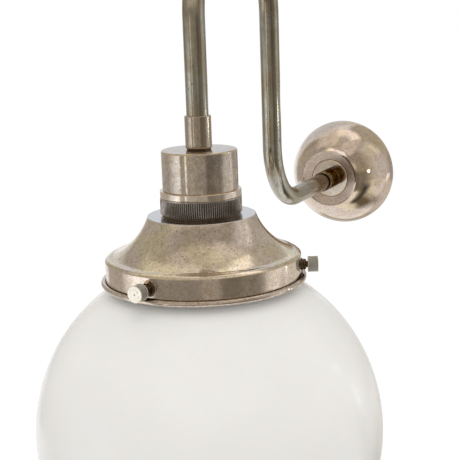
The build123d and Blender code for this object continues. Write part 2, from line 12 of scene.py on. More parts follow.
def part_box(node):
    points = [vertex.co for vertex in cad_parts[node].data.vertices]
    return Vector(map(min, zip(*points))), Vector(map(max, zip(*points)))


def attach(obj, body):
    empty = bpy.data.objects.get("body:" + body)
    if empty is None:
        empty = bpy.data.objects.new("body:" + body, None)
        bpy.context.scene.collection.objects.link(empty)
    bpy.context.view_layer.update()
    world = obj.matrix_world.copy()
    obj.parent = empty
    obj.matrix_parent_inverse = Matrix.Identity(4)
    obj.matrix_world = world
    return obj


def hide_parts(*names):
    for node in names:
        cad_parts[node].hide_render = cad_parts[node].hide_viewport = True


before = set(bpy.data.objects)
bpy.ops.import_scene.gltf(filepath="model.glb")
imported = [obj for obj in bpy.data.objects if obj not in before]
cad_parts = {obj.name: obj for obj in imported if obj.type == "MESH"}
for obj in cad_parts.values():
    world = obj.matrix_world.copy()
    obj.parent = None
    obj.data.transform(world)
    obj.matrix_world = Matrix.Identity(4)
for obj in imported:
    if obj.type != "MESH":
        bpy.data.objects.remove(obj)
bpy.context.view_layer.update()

MM = 0.001

# ---------- camera
CAMERA_TURN = radians(24.843)     # from -Y towards +X
CAMERA_TILT = radians(12.152)     # above the horizon
CAMERA_ROLL = radians(1.977)
CAMERA_LENS = 79.5                # millimetres, as the sensor's width is
CAMERA_SENSOR = 36
CAMERA_CLIP = (0.01, 60)
CAMERA_DISTANCE = 578.1 * MM      # from the aim point
AIM_HEIGHT = 5.59 * MM            # of the aim point, which is beside the lamp's axis
AIM_SIDE = 15.81 * MM             # to the right of the lamp's axis
LAMP_Y = (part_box("lampholder_cap")[0][1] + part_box("lampholder_cap")[1][1]) / 2

# Level directions: to the camera's right, and from the lamp towards the camera.
CAMERA_RIGHT = Vector((cos(CAMERA_TURN), sin(CAMERA_TURN), 0))
CAMERA_SIDE = Vector((sin(CAMERA_TURN), -cos(CAMERA_TURN), 0))


def linked(name, data):
    """New object in the scene."""
    piece = bpy.data.objects.new(name, data)
    bpy.context.scene.collection.objects.link(piece)
    return piece


def make_camera():
    data = bpy.data.cameras.new("camera")
    data.sensor_width = CAMERA_SENSOR
    data.lens = CAMERA_LENS
    data.clip_start, data.clip_end = CAMERA_CLIP
    camera = linked("camera", data)
    back = CAMERA_SIDE * cos(CAMERA_TILT) + Vector((0, 0, sin(CAMERA_TILT)))
    up = back.cross(CAMERA_RIGHT)
    rolled_right = CAMERA_RIGHT * cos(CAMERA_ROLL) - up * sin(CAMERA_ROLL)
    rolled_up = CAMERA_RIGHT * sin(CAMERA_ROLL) + up * cos(CAMERA_ROLL)
    turn = Matrix((rolled_right, rolled_up, back)).transposed().to_4x4()
    aim = Vector((0, LAMP_Y, AIM_HEIGHT)) + CAMERA_RIGHT * AIM_SIDE
    camera.matrix_world = Matrix.Translation(aim + back * CAMERA_DISTANCE) @ turn
    bpy.context.scene.camera = camera


make_camera()

# ---------- sizes that the frame doesn't give
SHEET = 1.0 * MM                  # wall of the cap and the gallery
ROSE_SHEET = 1.2 * MM
TUBE_SHEET = 1.0 * MM
NIPPLE_R = 5.05 * MM              # hole that a nipple passes through
THREAD_R = 19.05 * MM             # hole in each ring on the holder's thread
HAIR_EDGE = 0.1 * MM
FINE_EDGE = 0.2 * MM
SOFT_EDGE = 0.3 * MM
FULL_EDGE = 0.4 * MM
SHARP = radians(38)               # least angle between faces that stays an edge
TOOTH_STEPS = 8                   # sides of one rib or knurl, and steps of one turn of a thread
PIN_R = 0.02 * MM                 # how near the axis a solid outline starts
SKIN = 0.01 * MM                  # depth under a surface at which carving starts

RIM_BULGE = 0.4 * MM              # wall rose, from its rim inwards
CREASE_R = 39.0 * MM
RIM_DEPTH = 8.2 * MM
DOME_BULGE = 2.1 * MM
CREST_R = 21.2 * MM
CREST_HALF_W = 1.8 * MM
CREST_DROP = 1.0 * MM
ROSE_DISH = 1.6 * MM
COLLAR_SEAM = 0.25 * MM

LOWER_BEND_R = 40.0 * MM
TOP_BEND_Z = 124.7 * MM           # height at which the bend over the top starts
SOCKET_R = 6.3 * MM               # hole in a coupler that the tube sits in
SOCKET_DEPTH = 9.0 * MM
MOUTH_R = 6.9 * MM                # wider hole at the wall coupler's mouth
MOUTH_DEPTH = 2.0 * MM
COUPLER_GROOVES = (4.6 * MM, 3.2 * MM, 1.8 * MM)    # from the wall coupler's front
COUPLER_GROOVE_W = 0.35 * MM
COUPLER_GROOVE_DEPTH = 0.3 * MM
FRONT_COUPLER_EXTRA = 0.8 * MM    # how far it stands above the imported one

CAP_EDGE = 0.9 * MM
RIB_PITCH = 1.23 * MM             # ribs of the knurled ring
RIB_DEPTH = 0.38 * MM
RIB_POWER = 0.7                   # below 1, so that the ribs are narrower than their gaps
RIB_PLAIN = 0.7 * MM              # smooth band above the ribs
RIB_FADE = 0.3 * MM
RIB_TOP = RIB_PLAIN * 1.4         # from the ring's top, where the ribs are nearly at full depth
GALLERY_TOP_R = 30.8 * MM
GALLERY_HOLE_R = 19.3 * MM
FLARE_DROP = 22.0 * MM
FLARE_HOLLOW = 3.15 * MM
SHOULDER_W = 4.45 * MM
SHOULDER_H = 1.8 * MM
SHOULDER_BULGE = 0.45 * MM
BAND_R = 55.95 * MM
BAND_H = 11.4 * MM
GROOVE_H = 0.9 * MM
GROOVE_DEPTH = 1.0 * MM
LIP_WEB_H = 1.2 * MM
LIP_BEAD_R = 1.6 * MM
LIP_BEAD_STEPS = 18

SCREW_COUNT = 3
FIRST_SCREW = radians(22.5)       # from +X
BOSS_FLANGE_R = 3.5 * MM
BOSS_FLANGE_H = 0.75 * MM
BOSS_NUT_R = 3.05 * MM
BOSS_FOOT_R = BOSS_NUT_R * 0.88
BOSS_FRONT_R = BOSS_NUT_R * 0.8
BOSS_ROUNDING = 0.5 * MM
BOSS_BORE_R = 2.05 * MM
BOSS_SUNK = 0.25 * MM             # how far it reaches into the band
BOSS_END = BAND_R + 2.75 * MM
SHANK_R = 2.0 * MM
SHANK_TIP = 46.8 * MM             # from the lamp's axis
SHANK_POINT = 1.0 * MM
NECK_R = 1.5 * MM
NECK_L = 3.0 * MM
HEAD_BACK = BOSS_END + 0.8 * MM
HEAD_L = 6.0 * MM
HEAD_EDGE = 0.35 * MM
HEAD_TEETH = 26
HEAD_CUT = 0.4 * MM               # depth of the knurl
HEAD_CLIMB = 1.25 * MM            # travel in which the knurl's crossing lines go one tooth round
HEAD_STEPS = 32
DIMPLE_R = 0.5 * MM
DIMPLE_DEPTH = 0.35 * MM

GLASS = 3.0 * MM
GLOBE_NECK_R = 46.5 * MM
GLOBE_LIP_R = 50.5 * MM
GLOBE_LIP_H = 3.4 * MM
GLASS_EDGE = 1.2 * MM
GLOBE_STEPS = 96

HOLDER_R = 19.0 * MM
HOLDER_BORE_R = 16.6 * MM
HOLDER_FLANGE = 3.0 * MM
ROLLED_SHEET = 0.5 * MM           # screw shell and bulb cap
ROLLED_TOP = 1.5 * MM
ROLLED_HOLE_R = 5.0 * MM
NIPPLE_BORE_R = 3.5 * MM
NIPPLE_END = 0.4 * MM             # bevel before the thread starts

# Pitch and depth of each thread.
HOLDER_THREAD = (2.0 * MM, 0.5 * MM)
LAMP_THREAD = (25.4 * MM / 7, 0.9 * MM)
SCREW_THREAD = (0.7 * MM, 0.32 * MM)
NIPPLE_THREAD = (1.0 * MM, 0.45 * MM)


# ---------- outlines
# A corner of a half section is (radius, height) or (radius, height, radius that rounds it).
def arc(centre, radius, first, last, count):
    """Points of an arc in equal steps, with both ends."""
    angles = [first + (last - first) * index / count for index in range(count + 1)]
    return [(centre[0] + radius * cos(angle), centre[1] + radius * sin(angle)) for angle in angles]


def short_way(swing):
    """The same turn, in the direction that is less than half a circle."""
    return (swing + pi) % (2 * pi) - pi


def bow(start, end, bulge, step=1.2 * MM):
    """Points of an arc between two corners, standing out by bulge to the left of its chord.

    The two ends are left out, so that they can be rounded corners of their own.
    """
    dr, dz = end[0] - start[0], end[1] - start[1]
    chord = hypot(dr, dz)
    normal = (-dz / chord, dr / chord)
    radius = (chord * chord / 4 + bulge * bulge) / (2 * bulge)
    middle = ((start[0] + end[0]) / 2, (start[1] + end[1]) / 2)
    centre = [middle[i] + normal[i] * (bulge - radius) for i in range(2)]
    first = atan2(start[1] - centre[1], start[0] - centre[0])
    swing = short_way(atan2(end[1] - centre[1], end[0] - centre[0]) - first)
    count = max(2, ceil(abs(radius * swing) / step))
    return arc(centre, abs(radius), first, first + swing, count)[1:-1]


def softened(corners, steps=5):
    """Turn a closed run of corners into points (r, z, wear), with every edge radius worked in."""
    longest = 0.42                # share of a side that a rounding may take up
    support = 0.25 * MM           # beyond a rounding, a point that keeps the flat part flat
    faint = 0.25                  # wear there
    points = []
    for index, (r, z, *edge) in enumerate(corners):
        before = corners[index - 1]
        after = corners[(index + 1) % len(corners)]
        back = Vector((before[0] - r, before[1] - z))
        ahead = Vector((after[0] - r, after[1] - z))
        if not edge:
            points.append((r, z, 0.0))
            continue
        half = back.angle(ahead) / 2
        reach = min(edge[0] / tan(half), longest * back.length, longest * ahead.length)
        radius = reach * tan(half)
        back.normalize()
        ahead.normalize()
        here = Vector((r, z))
        centre = here + (back + ahead).normalized() * (radius / sin(half))
        beyond = min(reach * 0.5, support)
        first = here + back * reach
        last = here + ahead * reach
        start = atan2(first.y - centre.y, first.x - centre.x)
        swing = short_way(atan2(last.y - centre.y, last.x - centre.x) - start)
        points.append((*(first + back * beyond), faint))
        points += [(*place, 1.0) for place in arc(centre, radius, start, start + swing, steps)]
        points.append((*(last + ahead * beyond), faint))
    return points


# ---------- meshes
def mesh_object(name, vertices, faces, material):
    mesh = bpy.data.meshes.new(name)
    mesh.from_pydata(vertices, [], faces)
    mesh.materials.append(material)
    return linked(name, mesh)


def mesh_piece(name, vertices, faces, material, wear, dirt, flow):
    """Object at the origin from vertices and faces, smooth except at sharp corners.

    Each vertex has its wear, the dirt in it and its place in the piece's own coordinates.
    """
    piece = mesh_object(name, vertices, faces, material)
    mesh = piece.data
    mesh.attributes.new("wear", "FLOAT", "POINT").data.foreach_set("value", wear)
    mesh.attributes.new("dirt", "FLOAT", "POINT").data.foreach_set("value", dirt)
    flat = [value for place in flow for value in place]
    mesh.attributes.new("flow", "FLOAT_VECTOR", "POINT").data.foreach_set("vector", flat)
    mesh.shade_smooth()
    mesh.set_sharp_from_angle(angle=SHARP)
    return piece


def dress(piece, node, body="wall_arm"):
    """Carry the piece on a body and hide the node that it stands for."""
    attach(piece, body)
    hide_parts(node)


LAMP = Matrix.Translation((0, LAMP_Y, 0))
WALL = Matrix.Rotation(radians(90), 4, "X")


def lathe(name, corners, material, place, count, carve=None):
    """Closed outline turned round the local Z axis, as a mesh with count sides.

    carve is (depth, least radius, share): share(angle, z) from 0 to 1 says how much of the depth is
    cut away from points beyond the least radius.
    """
    points = softened(corners)
    if sum(a[0] * b[1] - b[0] * a[1] for a, b in zip(points, points[1:] + points[:1])) < 0:
        points.reverse()
    depth, least, share = carve or (0, 0, None)
    vertices, faces, wear, dirt, flow = [], [], [], [], []
    for index in range(count):
        angle = 2 * pi * index / count
        for r, z, worn in points:
            carved = share(angle, z) if share and r >= least else 0.0
            radius = r - depth * carved
            local = Vector((radius * cos(angle), radius * sin(angle), z))
            vertices.append(place @ local)
            wear.append(worn)
            dirt.append(carved)
            flow.append(local)
    ring = len(points)
    for index in range(count):
        here, there = index * ring, (index + 1) % count * ring
        for step in range(ring):
            after = (step + 1) % ring
            faces.append((here + step, there + step, there + after, here + after))
    return mesh_piece(name, vertices, faces, material, wear, dirt, flow)


def span(node, place=LAMP):
    """Radius of a round node and its least and greatest local Z, from the floor or the wall."""
    low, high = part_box(node)
    radius = (high[0] - low[0]) / 2
    return (radius, -high[1], -low[1]) if place is WALL else (radius, low[2], high[2])


def thread(kind, radius, holds=lambda z: True):
    """What lathe carves for a right-hand thread, where holds says that there is one."""
    pitch, depth = kind

    def share(angle, z):
        return 0.5 - 0.5 * cos(2 * pi * z / pitch - angle) if holds(z) else 0.0

    return depth, radius - SKIN, share


def thread_corners(kind, radius, low, high):
    """Plain stretch divided finely enough to carry a thread."""
    count = ceil((high - low) / kind[0] * TOOTH_STEPS)
    return [(radius, low + (high - low) * index / count) for index in range(count + 1)]


# ---------- materials
def tone(red, green, blue):
    """Linear colour from display levels of 0 to 255, in which the finishes are written."""
    linear = [((value / 255 + 0.055) / 1.055) ** 2.4 for value in (red, green, blue)]
    return (*linear, 1.0)


class Nodes:
    """Short calls that add nodes to a tree, most of them returning the socket they make."""

    def __init__(self, tree):
        self.tree = tree

    def add(self, kind, **settings):
        node = self.tree.nodes.new(kind)
        for key, value in settings.items():
            setattr(node, key, value)
        return node

    def join(self, source, target):
        """Link a socket to an input, or set the input to a plain value."""
        if hasattr(source, "links"):
            self.tree.links.new(source, target)
        else:
            target.default_value = source

    def attribute(self, name, output="Fac"):
        return self.add("ShaderNodeAttribute", attribute_name=name).outputs[output]

    def remap(self, value, low, high, to_low=0.0, to_high=1.0):
        node = self.add("ShaderNodeMapRange", interpolation_type="SMOOTHSTEP")
        names = ("Value", "From Min", "From Max", "To Min", "To Max")
        for name, source in zip(names, (value, low, high, to_low, to_high)):
            self.join(source, node.inputs[name])
        return node.outputs["Result"]

    def maths(self, operation, *values):
        node = self.add("ShaderNodeMath", operation=operation)
        for value, target in zip(values, node.inputs):
            self.join(value, target)
        return node.outputs["Value"]

    def shading(self, kind, **values):
        """Shader node with some of its inputs set."""
        node = self.add(kind)
        for name, value in values.items():
            self.join(value, node.inputs[name])
        return node.outputs[0]

    def mix_shaders(self, share, first, second):
        node = self.add("ShaderNodeMixShader")
        for source, target in zip((share, first, second), node.inputs):
            self.join(source, target)
        return node.outputs[0]


class Finish(Nodes):
    """The nodes of a material with one shader, in the piece's own or the object's coordinates."""

    def __init__(self, name, metallic=0.0, coordinates="Object"):
        self.material = bpy.data.materials.new(name)
        self.material.use_nodes = True
        super().__init__(self.material.node_tree)
        self.shader = self.tree.nodes["Principled BSDF"]
        self.shader.inputs["Metallic"].default_value = metallic
        if coordinates == "Object":
            self.where = self.add("ShaderNodeTexCoord").outputs["Object"]
        else:
            self.where = self.attribute(coordinates, "Vector")

    def along(self, axis):
        node = self.add("ShaderNodeSeparateXYZ")
        self.join(self.where, node.inputs["Vector"])
        return node.outputs[axis]

    def stretched(self, x, y, z):
        """Coordinates multiplied along each axis."""
        node = self.add("ShaderNodeMapping")
        self.join(self.where, node.inputs["Vector"])
        node.inputs["Scale"].default_value = (x, y, z)
        return node.outputs["Vector"]

    def noise(self, size, detail=2.0, rough=0.5, where=None, bend=0.0):
        """Noise whose blobs measure about size."""
        node = self.add("ShaderNodeTexNoise")
        names = ("Vector", "Scale", "Detail", "Roughness", "Distortion")
        for name, source in zip(names, (where or self.where, 1 / size, detail, rough, bend)):
            self.join(source, node.inputs[name])
        return node.outputs["Fac"]

    def mix(self, share, first, second):
        node = self.add("ShaderNodeMix", data_type="RGBA")
        self.join(share, node.inputs["Factor"])
        for index, colour in ((6, first), (7, second)):     # as output 2, these are the colour ones
            self.join(tone(*colour) if isinstance(colour, tuple) else colour, node.inputs[index])
        return node.outputs[2]

    def laid_on(self, colour, area, share, tint):
        """Colour with a share of a tint laid over an area."""
        return self.mix(self.maths("MULTIPLY", area, share), colour, tint)

    def bump(self, height, depth, strength, onto=None):
        node = self.add("ShaderNodeBump")
        self.join(height, node.inputs["Height"])
        node.inputs["Distance"].default_value = depth
        node.inputs["Strength"].default_value = strength
        if onto is not None:
            self.join(onto, node.inputs["Normal"])
        return node.outputs["Normal"]

    def finish(self, colour, roughness, normal, **others):
        values = {"Base Color": colour, "Roughness": roughness, "Normal": normal, **others}
        for name, value in values.items():
            self.join(value, self.shader.inputs[name])
        return self.material


WHITE = (1, 1, 1, 1)
PIT = (74, 62, 50)
DIRT = (48, 42, 36)
BARE_EDGE = (228, 206, 166)


def aged_plate(
    name, warm, cool, tarnish, rough, contrast, streaks=(1, 1, 1), dirty=0.8, zone=None,
    marks=(0.5, 0.5, 0.5, 0.75), dents=0.02 * MM, worn=0.85, painted_light_tints=(), dulled=None, edge_on=WHITE,
    metallic=1.0,
):
    """Silver plate gone tan and mauve: clouded, mottled, scribbled with marks and worn at edges.

    zone adds the node that says where the cool tone has the surface to itself; on the rose and the
    wall coupler it is painted reflection and painted shade. marks are the shares of the clouds, the
    drawn grain, the fine grain and the scribbles, streaks stretches the drawn grain and dents is
    the depth of the dents. dirty is the share of dirt in what is carved, and worn the share of bare
    metal at edges. Each of painted_light_tints is a zone, a tint and its share, laid over as
    painted shade and painted reflection; dulled is a zone with its least roughness, and edge_on is
    the tint of reflections at a grazing angle.
    """
    finish = Finish(name, metallic, "flow")
    patches = finish.remap(finish.noise(20 * MM, 3.0, 0.55, bend=0.6), 0.38, 0.62)
    if zone:
        patches = finish.maths("MAXIMUM", patches, zone(finish))
    clouds = finish.remap(finish.noise(6.5 * MM, 4.0, 0.62, bend=1.0), 0.40, 0.66)
    drawn = finish.noise(2.2 * MM, 4.0, 0.65, where=finish.stretched(*streaks))
    drawn = finish.remap(drawn, 0.42, 0.66)
    grain = finish.remap(finish.noise(0.7 * MM, 2.0, 0.6), 0.38, 0.66)
    swirl = finish.maths("SUBTRACT", finish.noise(5.5 * MM, 2.0, 0.5, bend=2.4), 0.5)
    scribble = finish.remap(finish.maths("ABSOLUTE", swirl), 0.0, 0.016, 1.0, 0.0)
    scribble = finish.maths("MULTIPLY", scribble, finish.remap(finish.noise(8 * MM), 0.50, 0.58))
    pits = finish.remap(finish.noise(1.1 * MM, 1.0, 0.4), 0.72, 0.75)
    colour = finish.mix(patches, warm, cool)
    for mark, share in zip((clouds, drawn, grain, scribble), marks):
        colour = finish.laid_on(colour, mark, share * contrast, tarnish)
    colour = finish.laid_on(colour, pits, 0.8, PIT)
    # Painted light: shade and reflections laid on in zones.
    for area, tint, share in painted_light_tints:
        colour = finish.laid_on(colour, area(finish), share, tint)
    colour = finish.laid_on(colour, finish.attribute("dirt"), dirty, DIRT)
    if worn:
        broken = finish.remap(finish.noise(2.2 * MM, 3.0, 0.6), 0.40, 0.60, 0.05, 1.0)
        edges = finish.maths("MULTIPLY", finish.attribute("wear"), broken)
        colour = finish.laid_on(colour, edges, worn, BARE_EDGE)
    dull = finish.maths("ADD", clouds, grain)
    roughness = finish.remap(dull, 0.2, 1.8, rough * 0.75, rough * 1.5)
    if dulled:
        area, least = dulled
        floor = finish.maths("MULTIPLY", area(finish), least)
        roughness = finish.maths("MAXIMUM", roughness, floor)
    normal = finish.bump(finish.noise(6 * MM, 1.0, 0.4), dents, 0.5)
    normal = finish.bump(pits, -0.03 * MM, 0.6, onto=normal)
    return finish.finish(colour, roughness, normal, **{"Specular Tint": edge_on})


def below(level, fade=1.0 * MM):
    """Zone under a height."""
    return lambda finish: finish.remap(finish.along("Z"), level - fade, level + fade, 1.0, 0.0)


def between(low, high, fade=0.15 * MM):
    """Zone between two heights."""
    def add(finish):
        return finish.maths("SUBTRACT", below(high, fade)(finish), below(low, fade)(finish))
    return add


def both(first, second):
    """Where two zones meet."""
    return lambda finish: finish.maths("MULTIPLY", first(finish), second(finish))


def within(radius, fade=1.0 * MM):
    """Zone nearer the piece's axis than a radius."""
    def add(finish):
        sides = [finish.along(axis) for axis in "XY"]
        squares = [finish.maths("MULTIPLY", side, side) for side in sides]
        reach = finish.maths("SQRT", finish.maths("ADD", *squares))
        return finish.remap(reach, radius - fade, radius + fade, 1.0, 0.0)
    return add


def plain_metal(name, light, dark, rough, size=3 * MM):
    """Cleaner hidden metal with faint clouding and fine scratches."""
    finish = Finish(name, metallic=1.0)
    clouds = finish.remap(finish.noise(size, 4.0, 0.6), 0.35, 0.7)
    spots = finish.remap(finish.noise(size / 5, 2.0, 0.5), 0.55, 0.75)
    colour = finish.laid_on(light, clouds, 0.7, dark)
    colour = finish.laid_on(colour, spots, 0.35, dark)
    scratches = finish.noise(0.6 * MM, 3.0, 0.6, where=finish.stretched(1, 1, 7))
    roughness = finish.remap(clouds, 0.0, 1.0, rough * 0.8, rough * 1.4)
    return finish.finish(colour, roughness, finish.bump(scratches, 0.01 * MM, 0.6))


def opal_glass():
    """Milk glass: nearly even, with a little dust, and faintly uneven in the blow."""
    finish = Finish("opal_glass")
    cloud = finish.remap(finish.noise(60 * MM, 2.0, 0.5), 0.3, 0.7)
    colour = finish.mix(cloud, (240, 237, 232), (236, 234, 230))
    dust = finish.remap(finish.noise(1.4 * MM, 2.0, 0.5), 0.68, 0.78, 0.0, 0.25)
    colour = finish.mix(dust, colour, (226, 223, 217))
    roughness = finish.remap(finish.noise(9 * MM, 3.0, 0.5), 0.3, 0.7, 0.17, 0.24)
    normal = finish.bump(finish.noise(14 * MM, 2.0, 0.4), 0.03 * MM, 0.5)
    milk = {"Specular IOR Level": 0.3, "Subsurface Weight": 0.15, "Subsurface Scale": 4 * MM}
    return finish.finish(colour, roughness, normal, **milk)


def white_ceramic():
    finish = Finish("white_ceramic")
    speck = finish.remap(finish.noise(0.9 * MM, 2.0, 0.5), 0.68, 0.76)
    colour = finish.mix(finish.noise(8 * MM, 3.0, 0.5), (238, 236, 228), (226, 222, 212))
    colour = finish.laid_on(colour, speck, 0.5, (170, 160, 145))
    roughness = finish.remap(speck, 0, 1, 0.2, 0.5)
    return finish.finish(colour, roughness, finish.bump(finish.noise(0.7 * MM, 3), 0.02 * MM, 0.5))


def smooth_solid(
    name, light, dark, patch, grain, rough, depth, strength=0.6, stretch=(1, 1, 1), clear=0.0,
):
    """Plastic or frosted glass: two near tones, and a fine texture that roughens and dents it.

    patch and grain are what noise takes for the tones and for the texture.
    """
    finish = Finish(name)
    colour = finish.mix(finish.noise(*patch), light, dark)
    texture = finish.noise(*grain, where=finish.stretched(*stretch))
    roughness = finish.remap(texture, 0.3, 0.7, *rough)
    normal = finish.bump(texture, depth, strength)
    return finish.finish(colour, roughness, normal, **{"Transmission Weight": clear})


GALLERY_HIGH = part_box("gallery")[1][2]
BAND_HIGH = GALLERY_HIGH - FLARE_DROP - SHOULDER_H
BAND_LOW = BAND_HIGH - BAND_H
COLLAR_FACE_DEPTH = -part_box("rose_collar")[0][1]
# Painted reflection: the gallery's flat top is tinted a pale cool grey, as the ceiling shows in it.
GALLERY_TOP = between(GALLERY_HIGH - 0.4 * MM, GALLERY_HIGH + 1 * MM)
# Painted shade: the crevice between the band and the bead is laid over with dark brown.
GROOVE_PAINTED_SHADE = both(
    below(BAND_LOW + 0.15 * MM, 0.1 * MM),
    within(BAND_R + 0.3 * MM, 0.15 * MM),
)
# Painted shade and reflection: the tube turns brown over its first 34 mm from the wall, at the
# coupler's mouth.
WALL_END_PAINTED_SHADE = below(34 * MM, 4 * MM)

CAP_PLATE = aged_plate(
    "silver_cap", (231, 221, 209), (225, 218, 214), (150, 134, 118), 0.09, 0.9,
)
FLARE_PLATE = aged_plate(
    "silver_gallery", (238, 226, 197), (236, 222, 212), (148, 132, 104), 0.13, 0.7,
    zone=below(BAND_HIGH), marks=(0.24, 0.45, 0.55, 0.75), dents=0.003 * MM,
    # Both tints are painted light: a pale reflection on the top flat and dark shade in the groove.
    painted_light_tints=((GALLERY_TOP, (220, 223, 230), 0.85), (GROOVE_PAINTED_SHADE, (50, 41, 32), 0.9)),
)
ROSE_PLATE = aged_plate(
    "silver_rose", (230, 213, 186), (222, 207, 198), (152, 130, 102), 0.09, 0.6,
    # Inside the crest the dish takes the mauve cool tone: a painted reflection.
    zone=within(CREST_R), marks=(0.4, 0.4, 0.4, 0.6), dents=0.012 * MM,
    dulled=(within(CREST_R - 1 * MM), 0.34),
)
TUBE_PLATE = aged_plate(
    "silver_tube", (190, 188, 176), (178, 168, 148), (104, 94, 78), 0.12, 0.8,
    streaks=(1, 1, 0.03), marks=(0.25, 0.7, 0.15, 0.2), dents=0.003 * MM,
    # Brown near the wall: painted shade and reflection.
    painted_light_tints=((WALL_END_PAINTED_SHADE, (136, 112, 88), 0.75),),
)
SLEEVE_PLATE = aged_plate(
    "silver_sleeve", (198, 186, 170), (192, 180, 170), (108, 92, 74), 0.11, 0.8,
    marks=(0.35, 0.4, 0.3, 0.5), dents=0.005 * MM,
)
SOCKET_PLATE = aged_plate(
    "silver_socket", (170, 150, 124), (112, 94, 76), (56, 46, 36), 0.14, 0.9,
    # The dark cool tone over the 12 mm next to the rose is painted shade.
    zone=below(COLLAR_FACE_DEPTH + 12 * MM, 3 * MM), dents=0.004 * MM,
    edge_on=(0.24, 0.20, 0.15, 1),
)
BOSS_PLATE = aged_plate(
    "dark_boss", (110, 86, 66), (96, 76, 60), (48, 37, 28), 0.2, 0.9, worn=0.3,
    edge_on=(0.2, 0.15, 0.1, 1),
)
RING_PLATE = aged_plate(
    "silver_ring", (246, 235, 224), (242, 233, 228), (172, 154, 138), 0.10, 0.5,
)
KNURL = aged_plate(
    "dark_knurl", (190, 182, 174), (178, 170, 164), (112, 102, 92), 0.18, 0.4,
    dirty=1.0, worn=0,
)
# Dark rings in the gaps at the seat washer and under the knurled ring: dark patina and painted
# shade.
SHADOW = aged_plate(
    "patina_and_shade_ring", (112, 96, 80), (104, 90, 76), (58, 48, 38), 0.24, 0.5, worn=0,
)
NICKEL = aged_plate(
    "bright_nickel", (240, 237, 230), (232, 228, 218), (190, 180, 158), 0.22, 0.3,
    metallic=0.75,
)
SCREW_STEEL = plain_metal("screw_steel", (170, 160, 142), (96, 84, 68), 0.28)
ZINC = plain_metal("zinc_steel", (206, 208, 206), (160, 164, 162), 0.36, size=7 * MM)
BRASS = plain_metal("raw_brass", (226, 196, 128), (170, 136, 78), 0.3)
BULB_METAL = plain_metal("bulb_metal", (214, 214, 210), (172, 170, 164), 0.26)
OPAL = opal_glass()
CERAMIC = white_ceramic()
PLASTIC = smooth_solid(
    "white_plastic", (232, 231, 226), (222, 220, 213), (5 * MM, 3.0), (0.35 * MM,),
    (0.35, 0.5), 0.015 * MM,
)
SHEATH = smooth_solid(
    "lead_sheath", (206, 203, 195), (190, 186, 176), (6 * MM, 3.0), (0.5 * MM, 3.0, 0.6),
    (0.42, 0.6), 0.02 * MM, stretch=(1, 0.2, 0.2),
)
BULB = smooth_solid(
    "bulb_glass", (244, 243, 240), (236, 234, 229), (12 * MM,), (0.3 * MM,),
    (0.3, 0.45), 0.01 * MM, 0.4, clear=0.25,
)


# ---------- wall rose and its fittings
def make_rose():
    rose_r, _, depth = span("wall_rose", WALL)
    collar_r, collar_back, _ = span("rose_collar", WALL)
    seat_r = collar_r + COLLAR_SEAM
    seat_out = seat_r + ROSE_SHEET
    seat_back = collar_back - ROSE_SHEET
    dish = depth - ROSE_DISH
    foot = (rose_r, 0, SOFT_EDGE)
    crease = (CREASE_R, RIM_DEPTH, 0.5 * MM)
    crest_out = (CREST_R + CREST_HALF_W, depth - CREST_DROP)
    inner_crest = (crest_out[0] - ROSE_SHEET, crest_out[1] - ROSE_SHEET, SOFT_EDGE)
    inner_crease = (CREASE_R - ROSE_SHEET, RIM_DEPTH, SOFT_EDGE)
    corners = [
        foot, *bow(foot, crease, -RIM_BULGE), crease, *bow(crease, crest_out, -DOME_BULGE),
        crest_out, (CREST_R, depth), (CREST_R - CREST_HALF_W, depth - ROSE_DISH / 4),
        (seat_r, dish, SOFT_EDGE), (seat_r, collar_back, HAIR_EDGE),
        (NIPPLE_R, collar_back), (NIPPLE_R, seat_back),
        (seat_out, seat_back), (seat_out, dish - ROSE_SHEET),
        inner_crest, *bow(inner_crest, inner_crease, DOME_BULGE),
        inner_crease, (inner_crease[0], 0, SOFT_EDGE),
    ]
    dress(lathe("wall_rose_shell", corners, ROSE_PLATE, WALL, 256), "wall_rose")


def make_ring(name, node, hole_r, edge, material, count, place=LAMP):
    """Plain ring with softened edges, as large as its node."""
    radius, low, high = span(node, place)
    bottom = [(hole_r, low, edge / 2), (radius, low, edge)]
    top = [(radius, high, edge), (hole_r, high, edge / 2)]
    dress(lathe(name, bottom + top, material, place, count), node)


def make_wall_coupler():
    radius, back, front = span("wall_coupler", WALL)
    floor = front - SOCKET_DEPTH
    corners = [(NIPPLE_R, back, SOFT_EDGE), (radius, back, SOFT_EDGE)]
    for place in COUPLER_GROOVES:
        low = front - place
        corners += [
            (radius, low, 0.08 * MM),
            (radius - COUPLER_GROOVE_DEPTH, low + COUPLER_GROOVE_W / 2),
            (radius, low + COUPLER_GROOVE_W, 0.08 * MM),
        ]
    corners += [
        (radius, front, FULL_EDGE), (MOUTH_R, front, HAIR_EDGE),
        (MOUTH_R, front - MOUTH_DEPTH), (SOCKET_R, front - MOUTH_DEPTH),
        (SOCKET_R, floor), (NIPPLE_R, floor),
    ]
    dress(lathe("wall_coupler_sleeve", corners, SOCKET_PLATE, WALL, 128), "wall_coupler")


# ---------- arm
def arm_route(step=2.0 * MM):
    """Points (y, z) along the tube's centre line from the wall, and the tube's radius."""
    low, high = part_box("arm_tube")
    tube_r = (high[0] - low[0]) / 2
    top_r = high[2] - tube_r - TOP_BEND_Z
    rear_y = LAMP_Y + 2 * top_r
    bend_y = rear_y + LOWER_BEND_R
    end = (LAMP_Y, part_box("front_coupler")[1][2] - SOCKET_DEPTH)

    def straight(a, b):
        count = max(1, ceil(hypot(b[0] - a[0], b[1] - a[1]) / step / 2))
        shares = [index / count for index in range(count)]
        return [(a[0] + (b[0] - a[0]) * share, a[1] + (b[1] - a[1]) * share) for share in shares]

    def bend(centre, radius, first, last):
        return arc(centre, radius, first, last, ceil(radius * abs(last - first) / step))[:-1]

    points = straight((high[1], 0), (bend_y, 0))
    points += bend((bend_y, LOWER_BEND_R), LOWER_BEND_R, -pi / 2, -pi)
    points += straight((rear_y, LOWER_BEND_R), (rear_y, TOP_BEND_Z))
    points += bend((rear_y - top_r, TOP_BEND_Z), top_r, 0, pi)
    points += straight((LAMP_Y, TOP_BEND_Z), end)
    return [*points, end], tube_r


